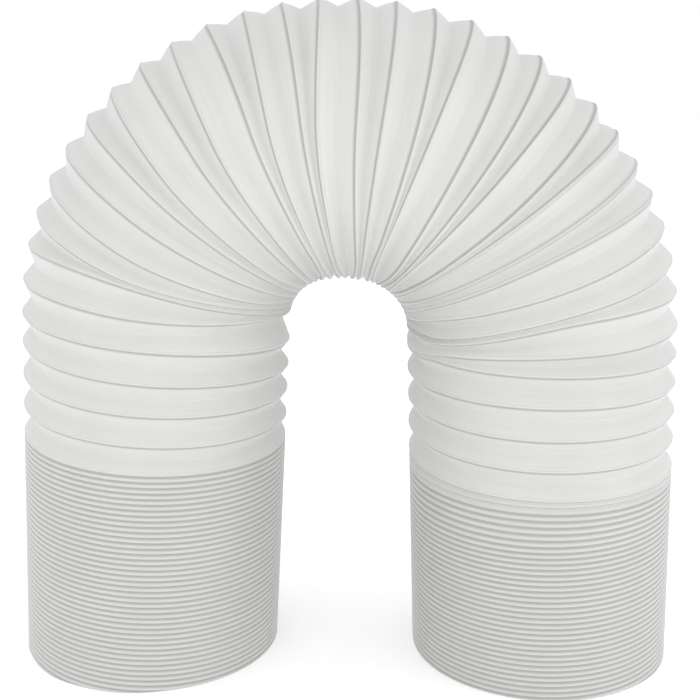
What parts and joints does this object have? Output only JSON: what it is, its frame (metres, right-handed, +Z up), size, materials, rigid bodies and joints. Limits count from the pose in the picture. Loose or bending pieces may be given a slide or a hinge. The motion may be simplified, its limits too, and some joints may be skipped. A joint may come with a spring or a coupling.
{
  "type": "air conditioner exhaust hose",
  "caption": "White spirally wound pleated duct hose, bent into an upright arch with both ends pressed into short folded stacks.",
  "frame": {"origin": "centre of the bounding box, on the level floor that both cut ends stand on", "axes": "+X from the left leg to the right leg, -Y to the front that the arch leans towards, +Z up"},
  "size_m": [0.3977, 0.1664, 0.3878],
  "materials": {
    "white_polypropylene": "satin"
  },
  "bodies": {
    "root": {"hose": "white_polypropylene"}
  },
  "joints": []
}
